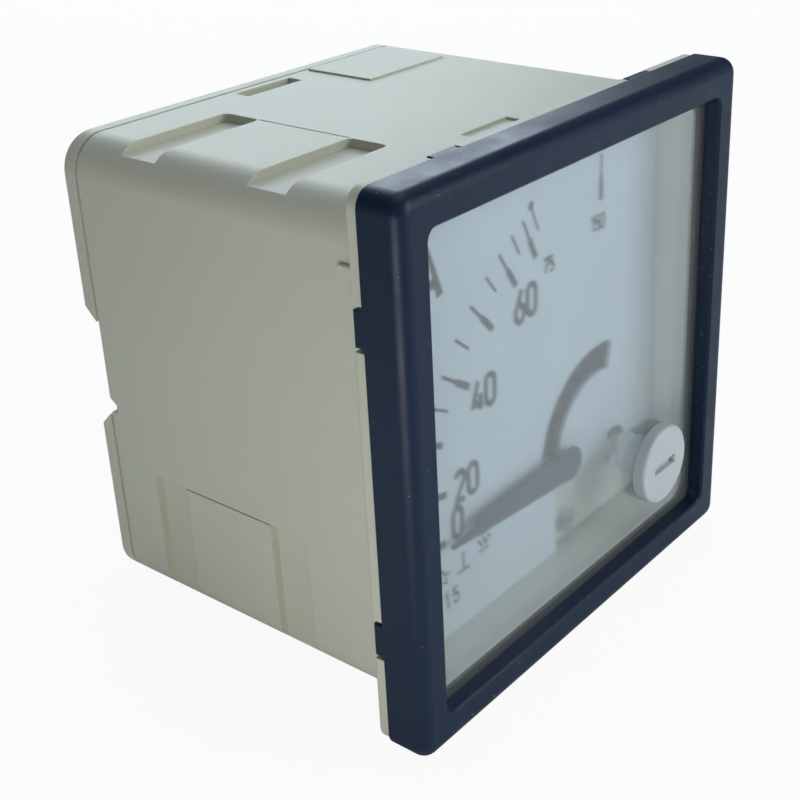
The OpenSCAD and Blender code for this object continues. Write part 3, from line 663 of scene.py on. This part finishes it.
@dataclass
class ThreadedStud:
    """Stud with a real thread, round an axis along Y.

    Attributes:
        centre: Axis as (x, z).
        start: Front end of the thread.
        end: Free end.
        radius: Outer radius of the thread.
        pitch: Pitch of the thread.
    """

    centre: Tuple[float, float]
    start: float
    end: float
    radius: float
    pitch: float = 0.8 * MM

    def build(
        self, name: str, node: str, flange: Tuple[float, float, float], finish: bpy.types.Material
    ) -> bpy.types.Object:
        """Makes the stud.

        The radius at depth y and angle a is the outer radius less a triangle wave of
        (y / pitch - a / full turn), and it falls to a cone over the last pitch.

        Args:
            name: Name of the piece.
            node: Solid that the piece stands for.
            flange: Radius, front and back of the flange.
            finish: Material.

        Returns:
            The piece.
        """
        around, steps = 48, int((self.end - self.start) / self.pitch * 12)
        y = np.linspace(self.start, self.end, steps)
        angle = np.linspace(0.0, 2 * math.pi, around, endpoint=False)
        phase = (y[:, None] - self.start) / self.pitch - angle[None, :] / (2 * math.pi)
        wave = np.abs(2.0 * (phase - np.floor(phase + 0.5)))
        cut = 0.45 * self.pitch * np.clip(1.15 * wave - 0.08, 0.0, 1.0)
        taper = np.clip((self.end - y) / (0.8 * self.pitch), 0.0, 1.0)[:, None]
        grown = self.radius - SKIN - np.maximum(cut, 0.5 * self.pitch * (1.0 - taper))
        reach, front, back = flange
        head = np.array([
            (0.0, front),
            (reach - FLANGE_CHAMFER, front),
            (reach, front + FLANGE_CHAMFER),
            (reach, back),
            (self.radius - SKIN, back),
        ])
        radii = np.vstack([np.repeat(head[:, :1], around, 1), grown, np.zeros((1, around))])
        depths = np.concatenate([head[:, 1], y, [self.end]])
        turned = [radii * np.cos(angle), np.repeat(depths[:, None], around, 1), radii * np.sin(angle)]
        points = np.stack(turned, -1) + np.array([self.centre[0], 0.0, self.centre[1]])
        count = len(points)
        made = mesh_piece(name, points.reshape(-1, 3), grid_faces(count, around, False, True), True)
        tidy(made)
        made.data.materials.append(finish)
        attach(made, "case")
        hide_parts(node)
        return made


def tidy(piece: bpy.types.Object, merge: float = 1e-7) -> None:
    """Merges double points of a piece and turns its faces outwards."""
    work = bmesh.new()
    work.from_mesh(piece.data)
    bmesh.ops.remove_doubles(work, verts=work.verts, dist=merge)
    bmesh.ops.dissolve_degenerate(work, edges=work.edges, dist=merge)
    bmesh.ops.recalc_face_normals(work, faces=work.faces)
    work.to_mesh(piece.data)
    work.free()


@dataclass
class HexNuts:
    """Hexagon nuts with chamfered corners, round axes along Y.

    Attributes:
        flats: Width across flats.
        thickness: Height of a nut.
        bore: Radius of the hole.
    """

    flats: float
    thickness: float
    bore: float

    def one(self, centre: Tuple[float, float], front: float) -> Tuple[np.ndarray, np.ndarray]:
        """Points and quads of one nut.

        The outer radius at an angle is the hexagon's, half the flats over the cosine of
        the angle to the nearest flat, limited by a 30 degree cone at both faces.
        """
        angle = np.linspace(0.0, 2 * math.pi, 96, endpoint=False)
        sixth = math.pi / 3
        turned = np.mod(angle, sixth) - sixth / 2
        hexagon = self.flats / 2 / np.cos(turned)
        rise = (hexagon - self.flats / 2 * 0.97) * math.tan(math.radians(30))
        rise = np.clip(rise, 0.0, None)
        face = self.flats / 2 * 0.95
        rings = []
        lip = self.bore + NUT_CHAMFER
        for radius, depth in ((self.bore, NUT_CHAMFER), (lip, 0.0), (face, 0.0)):
            rings.append((np.full_like(angle, radius), np.full_like(angle, depth)))
        rings.append((hexagon, rise))
        rings.append((hexagon, self.thickness - rise))
        for radius, depth in ((face, 0.0), (lip, 0.0), (self.bore, NUT_CHAMFER)):
            rings.append((np.full_like(angle, radius), np.full_like(angle, self.thickness - depth)))
        radii, depths = (np.stack(column) for column in zip(*rings))
        points = np.stack([radii * np.cos(angle), front + depths, radii * np.sin(angle)], -1)
        points = points + np.array([centre[0], 0.0, centre[1]])
        return points.reshape(-1, 3), grid_faces(len(rings), len(angle), True, True)

    def build(
        self, places: Sequence[Tuple[float, float, float]], finish: bpy.types.Material
    ) -> bpy.types.Object:
        """Makes all nuts as one piece that stands for the solid node."""
        points, faces, count = [], [], 0
        for x, z, front in places:
            shape, quads = self.one((x, z), front)
            points.append(shape)
            faces.append(quads + count)
            count += len(shape)
        made = mesh_piece("nuts_chamfered", np.vstack(points), np.vstack(faces))
        tidy(made)
        made.data.materials.append(finish)
        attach(made, "case")
        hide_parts("terminal_nuts")
        return made


@dataclass
class Terminals:
    """Studs and nuts at the back of the housing.

    Attributes:
        metal: Finish of studs and nuts.
        radius: Outer radius of the thread.
        flange: Thickness of a stud's flange.
        flats: Width across a nut's flats.
        thickness: Height of a nut.
    """

    metal: bpy.types.Material
    radius: float = 2.5 * MM
    flange: float = 2.0 * MM
    flats: float = 8.0 * MM
    thickness: float = 4.0 * MM

    def build(self) -> List[bpy.types.Object]:
        """Builds threaded studs and chamfered nuts in the places of the solids."""
        made: List[bpy.types.Object] = []
        places: List[Tuple[float, float, float]] = []
        low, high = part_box("terminal_nuts")
        for node in ("terminal_stud_upper", "terminal_stud_lower"):
            a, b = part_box(node)
            centre = ((a.x + b.x) / 2, (a.z + b.z) / 2)
            back = a.y + self.flange
            stud = ThreadedStud(centre, back, b.y, self.radius)
            made.append(stud.build(node + "_thread", node, ((b.x - a.x) / 2, a.y, back), self.metal))
            places += [(*centre, low.y), (*centre, high.y - self.thickness)]
        made.append(HexNuts(self.flats, self.thickness, self.radius).build(places, self.metal))
        return made


# ------------------------------------------------------------------ coil


@dataclass
class Coil:
    """Wire winding with visible turns.

    Attributes:
        finish: Finish of the wire.
        wire: Diameter of the wire.
        inner: Radius of the bobbin's core.
        around: Points round the axis.
    """

    finish: bpy.types.Material
    wire: float = 0.5 * MM
    inner: float = 6.75 * MM
    around: int = 72

    def build(self) -> bpy.types.Object:
        """Makes the winding.

        The outer profile is a row of half circles of the wire's radius along Y, swept
        round the pointer's axis; the inner profile is straight.
        """
        low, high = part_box("coil_winding")
        centre = ((low.x + high.x) / 2, (low.z + high.z) / 2)
        outer = (high.x - low.x) / 2
        turns = int(round((high.y - low.y) / self.wire))
        t = np.linspace(0.0, turns, turns * 6 + 1)
        bulge = np.sqrt(np.clip(0.25 - (t - np.floor(t) - 0.5) ** 2, 0.0, None)) * self.wire
        y = low.y + t / turns * (high.y - low.y)
        profile = np.stack([outer - self.wire / 2 + bulge, y], -1)
        profile = np.vstack([[self.inner, low.y], profile, [self.inner, high.y]])
        radii, depths = profile[:, :1], np.repeat(profile[:, 1:], self.around, 1)
        angle = np.linspace(0.0, 2 * math.pi, self.around, endpoint=False)
        swept = [centre[0] + radii * np.cos(angle), depths, centre[1] + radii * np.sin(angle)]
        points = np.stack(swept, -1).reshape(-1, 3)
        made = mesh_piece("winding_turns", points, grid_faces(len(profile), self.around, True, True), True)
        tidy(made)
        made.data.materials.append(self.finish)
        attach(made, "case")
        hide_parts("coil_winding")
        return made


# ------------------------------------------------------------------ dressing the solids


class Palette:
    """All finishes, built once and handed out by name."""

    def __init__(self) -> None:
        """Builds every finish."""
        finishes = {
            "navy": Moulding(
                "navy_moulding",
                colour=(0.008, 0.020, 0.052),
                shade=(0.0065, 0.017, 0.044),
                rough=(0.32, 0.44),
                grain=6200.0,
                grain_depth=0.00003,
                dust=0.02,
                scratches=True,
                sheen=0.26,
            ),
            "ivory": Moulding(
                "ivory_moulding",
                colour=(0.66, 0.665, 0.555),
                shade=(0.645, 0.648, 0.537),
                rough=(0.50, 0.53),
                grain=4200.0,
                grain_depth=0.000012,
                glow=0.12,
            ),
            "black": Moulding("black_moulding", (0.022, 0.022, 0.024), (0.03, 0.03, 0.032)),
            "grey": Moulding("grey_moulding", (0.22, 0.23, 0.245), (0.19, 0.2, 0.21)),
            "nylon": Moulding(
                "white_nylon",
                colour=(0.62, 0.65, 0.68),
                shade=(0.58, 0.61, 0.64),
                rough=(0.35, 0.5),
                grain_depth=0.000008,
                glow=0.25,
            ),
            "brass": Metal("nut_brass", (0.70, 0.50, 0.22), (0.42, 0.30, 0.14)),
            "dark": Metal("plated_steel", (0.20, 0.205, 0.21), (0.12, 0.12, 0.125)),
            "steel": Metal("zinc_steel", (0.60, 0.61, 0.62), (0.42, 0.43, 0.44)),
            "iron": Metal("soft_iron", (0.30, 0.31, 0.32), (0.20, 0.20, 0.20), Lay.ROLLED, (0.4, 0.6)),
            "alloy": Metal("light_alloy", (0.75, 0.76, 0.77), (0.60, 0.61, 0.62), Lay.ROLLED),
            "bronze": Metal("spring_bronze", (0.62, 0.38, 0.17), (0.45, 0.26, 0.12), Lay.ROLLED),
            "dial": Coat("dial_white", (0.70, 0.74, 0.77), 0.55, 0.04),
            "ink": Coat("dial_ink", (0.012, 0.013, 0.016), 0.6, 0.3),
            "pointer": Coat("pointer_black", (0.008, 0.011, 0.018), 0.6, 0.2),
            "seal": Coat("seal_black", (0.02, 0.02, 0.02), 0.8, 0.1),
            "glass": FrostedGlass("etched_glass"),
            "wire": Winding("enamelled_wire"),
        }
        self.made: Dict[str, bpy.types.Material] = {key: finish.build() for key, finish in finishes.items()}

    def __getitem__(self, key: str) -> bpy.types.Material:
        """The finish of a name."""
        return self.made[key]


class Dressing:
    """Gives each solid node its finish."""

    TABLE: Dict[str, str] = {
        "bezel": "navy",
        "window": "glass",
        "window_seal": "seal",
        "housing": "ivory",
        "rear_cover": "ivory",
        "terminal_washers": "dark",
        "dial_plate": "dial",
        "dial_screws": "steel",
        "movement_carrier": "black",
        "carrier_screws": "steel",
        "movement_bridge": "ivory",
        "bridge_screws": "steel",
        "front_bearing": "brass",
        "rear_bearing": "brass",
        "coil_bobbin": "black",
        "coil_screws": "steel",
        "fixed_iron": "iron",
        "damping_chamber": "grey",
        "damping_cover": "grey",
        "lead_upper": "wire",
        "lead_lower": "wire",
        "pointer_blade": "pointer",
        "pointer_arm": "alloy",
        "balance_weights": "brass",
        "spindle": "steel",
        "moving_iron": "iron",
        "damping_vane": "alloy",
        "hairspring": "bronze",
        "zero_lever": "alloy",
        "zero_adjuster": "nylon",
    }

    def __init__(self, palette: Palette) -> None:
        """Keeps the palette."""
        self.palette = palette

    def apply(self) -> int:
        """Puts the finishes on the nodes.

        Returns:
            The number of nodes dressed.
        """
        for node, key in self.TABLE.items():
            piece = frame["nodes"][node]
            for slot in piece.material_slots:
                slot.material = self.palette[key]
        return len(self.TABLE)


# ------------------------------------------------------------------ studio


@dataclass(frozen=True)
class Lamp:
    """Square area lamp.

    Attributes:
        name: Name of the lamp.
        place: Position.
        aim: Point that the lamp faces.
        size: Length of a side.
        power: Power in watts.
        tint: Colour of the light.
    """

    name: str
    place: Tuple[float, float, float]
    aim: Tuple[float, float, float]
    size: float
    power: float
    tint: Colour

    def build(self) -> bpy.types.Object:
        """Adds the lamp, with its back turned away from the aim."""
        data = bpy.data.lights.new(self.name, "AREA")
        data.size, data.energy, data.color = self.size, self.power, self.tint
        made = bpy.data.objects.new(self.name, data)
        made.location = self.place
        towards = Vector(self.aim) - Vector(self.place)
        made.rotation_euler = towards.to_track_quat("-Z", "Y").to_euler()
        bpy.context.scene.collection.objects.link(made)
        return made


# Top, front and right rear lamps, and a weak low lamp on the left
LAMPS: Tuple[Lamp, ...] = (
    Lamp("top_box", (0.15, 0.05, 0.75), (0.0, 0.02, 0.0), 0.7, 2.1, (0.84, 0.93, 1.0)),
    Lamp("front_box", (0.35, -0.75, 0.25), (0.0, 0.0, 0.0), 0.6, 4.0, (0.94, 0.98, 1.0)),
    Lamp("back_box", (0.5, 0.62, 0.34), (0.0, 0.02, 0.02), 0.5, 3.0, (0.75, 0.88, 1.0)),
    Lamp("low_box", (-0.14, -0.05, -0.04), (-0.033, 0.0, -0.035), 0.07, 0.10, (1.0, 1.0, 0.95)),
)


@dataclass
class Studio:
    """Camera, lamps, world and floor.

    Attributes:
        azimuth: Direction of the camera round Z, from the front, in degrees.
        elevation: Height of the camera above the horizon in degrees.
        roll: Turn of the picture in degrees.
        place: Position of the camera.
        lens: Focal length in millimetres on a 36 mm sensor.
        shift: Shift of the picture in parts of its width.
    """

    azimuth: float = -51.261
    elevation: float = 25.14
    roll: float = -1.953
    place: Tuple[float, float, float] = (-0.135546, -0.093765, 0.080129)
    lens: float = 62.79
    shift: Tuple[float, float] = (-0.0688, -0.05)

    def camera(self) -> bpy.types.Object:
        """Adds the camera, whose back points to the azimuth and elevation."""
        az, el, roll = (math.radians(v) for v in (self.azimuth, self.elevation, self.roll))
        back = Vector((math.sin(az) * math.cos(el), -math.cos(az) * math.cos(el), math.sin(el)))
        right = (-back).cross(Vector((0.0, 0.0, 1.0))).normalized()
        up = right.cross(-back)
        rolled_right = math.cos(roll) * right + math.sin(roll) * up
        rolled_up = math.cos(roll) * up - math.sin(roll) * right
        turn = Matrix((rolled_right, rolled_up, back)).transposed().to_4x4()
        data = bpy.data.cameras.new("camera")
        data.sensor_width, data.lens = 36.0, self.lens
        data.shift_x, data.shift_y = self.shift
        data.clip_start, data.clip_end = 0.005, 10.0
        made = bpy.data.objects.new("camera", data)
        made.matrix_world = Matrix.Translation(self.place) @ turn
        bpy.context.scene.collection.objects.link(made)
        bpy.context.scene.camera = made
        return made

    def world(self) -> None:
        """Soft surrounding light, seen as white by the camera."""
        world = bpy.data.worlds.new("studio")
        world.use_nodes = True
        tree = world.node_tree
        tree.nodes.clear()
        out = tree.nodes.new("ShaderNodeOutputWorld")
        seen, light = tree.nodes.new("ShaderNodeBackground"), tree.nodes.new("ShaderNodeBackground")
        seen.inputs[0].default_value, seen.inputs[1].default_value = (1, 1, 1, 1), 1.0
        light.inputs[0].default_value, light.inputs[1].default_value = (0.93, 0.97, 1.0, 1), 0.09
        rays, pick = tree.nodes.new("ShaderNodeLightPath"), tree.nodes.new("ShaderNodeMixShader")
        tree.links.new(rays.outputs["Is Camera Ray"], pick.inputs[0])
        tree.links.new(light.outputs[0], pick.inputs[1])
        tree.links.new(seen.outputs[0], pick.inputs[2])
        tree.links.new(pick.outputs[0], out.inputs[0])
        bpy.context.scene.world = world

    def floor(self) -> bpy.types.Object:
        """Pale floor under the bezel's lower edge and the cover's lower edge."""
        front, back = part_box("bezel"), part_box("rear_cover")
        rise = (back[0].z - front[0].z) / (back[1].y - COVER_EDGE - front[1].y)
        reach = 1.6
        grid = np.array([(x, y) for y in (-reach, reach) for x in (-reach, reach)])
        z = front[0].z - 0.00005 + (grid[:, 1] + COLLAR) * rise
        made = mesh_piece("floor", np.column_stack([grid, z]), [(0, 1, 3, 2)])
        sheet = Sheet("floor_white")
        lit = sheet.node("BsdfDiffuse", Color=(0.88, 0.89, 0.9, 1.0))
        glow = sheet.node("Emission", Color=(1, 1, 1, 1), Strength=1.0)
        rays = sheet.node("LightPath")
        share = sheet.maths("MULTIPLY", rays.outputs["Is Camera Ray"], 0.93)
        mixed = sheet.tree.nodes.new("ShaderNodeMixShader")
        sheet.tree.links.new(share, mixed.inputs[0])
        sheet.tree.links.new(lit.outputs[0], mixed.inputs[1])
        sheet.tree.links.new(glow.outputs[0], mixed.inputs[2])
        sheet.tree.links.new(mixed.outputs[0], sheet.output.inputs[0])
        made.data.materials.append(sheet.material)
        return made

    def build(self) -> None:
        """Builds the whole studio."""
        self.camera()
        for lamp in LAMPS:
            lamp.build()
        self.world()
        self.floor()
        bpy.context.scene.view_settings.view_transform = "Standard"


# ------------------------------------------------------------------ main


def pointer_axis() -> Tuple[float, float]:
    """The pointer's axis as (x, z), from the record's joint."""
    joints = {joint["name"]: joint for joint in frame["record"]["behaviour"]["joints"]}
    place = joints["pointer_turn"]["pos_m"]
    return float(place[0]), float(place[2])


def main() -> None:
    """Builds every part of the scene in order and reports each piece."""
    logging.basicConfig(level=logging.INFO, format="%(message)s")
    palette = Palette()
    LOG.info("nodes dressed: %d", Dressing(palette).apply())
    face_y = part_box("dial_plate")[0].y
    pieces = DialPrint(pointer_axis(), face_y, finishes={"ink": palette["ink"]}).build()
    pieces += Terminals(palette["dark"]).build()
    pieces.append(Coil(palette["wire"]).build())
    for piece in pieces:
        LOG.info("piece %s: %d faces", piece.name, len(piece.data.polygons))
    Studio().build()


if __name__ == "__main__":
    main()
